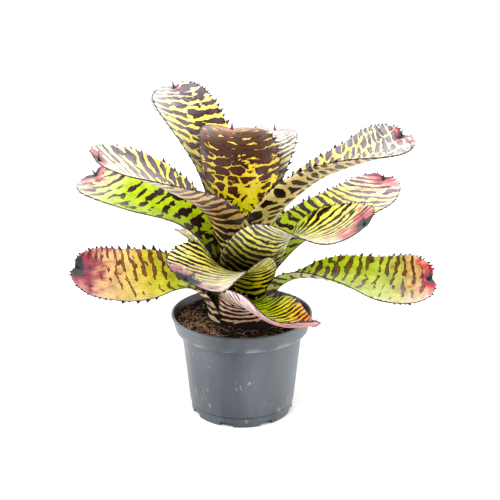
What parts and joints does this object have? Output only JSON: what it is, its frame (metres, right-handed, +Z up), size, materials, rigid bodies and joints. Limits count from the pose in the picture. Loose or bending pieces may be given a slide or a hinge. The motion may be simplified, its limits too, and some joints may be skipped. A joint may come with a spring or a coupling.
{
  "type": "potted dragon neoregelia bromeliad",
  "caption": "Tank bromeliad with banded, spine-edged strap leaves in a flared rosette, growing in soil in a round nursery pot.",
  "frame": {"origin": "centre of the pot's foot, on the surface it stands on", "axes": "+Z up along the pot's axis; the -Y side is the side seen in the picture"},
  "size_m": [0.3067, 0.2705, 0.2696],
  "materials": {
    "pot_plastic": "dark grey injection-moulded pot, satin, scuffed",
    "compost": "dark moist bark and coir potting mix",
    "stem_tissue": "pale fibrous stem, dull",
    "leaf_blade": "stiff leathery leaf, yellow-green with maroon crossbands, satin"
  },
  "bodies": {
    "root": {"pot": "pot_plastic", "soil": "compost", "stem": "stem_tissue", "leaf_heart": "leaf_blade", "leaf_01": "leaf_blade", "leaf_02": "leaf_blade", "leaf_03": "leaf_blade", "leaf_04": "leaf_blade", "leaf_05": "leaf_blade", "leaf_06": "leaf_blade", "leaf_07": "leaf_blade", "leaf_08": "leaf_blade", "leaf_09": "leaf_blade", "leaf_10": "leaf_blade", "leaf_11": "leaf_blade", "leaf_12": "leaf_blade", "leaf_13": "leaf_blade", "leaf_14": "leaf_blade", "leaf_15": "leaf_blade"}
  },
  "joints": []
}
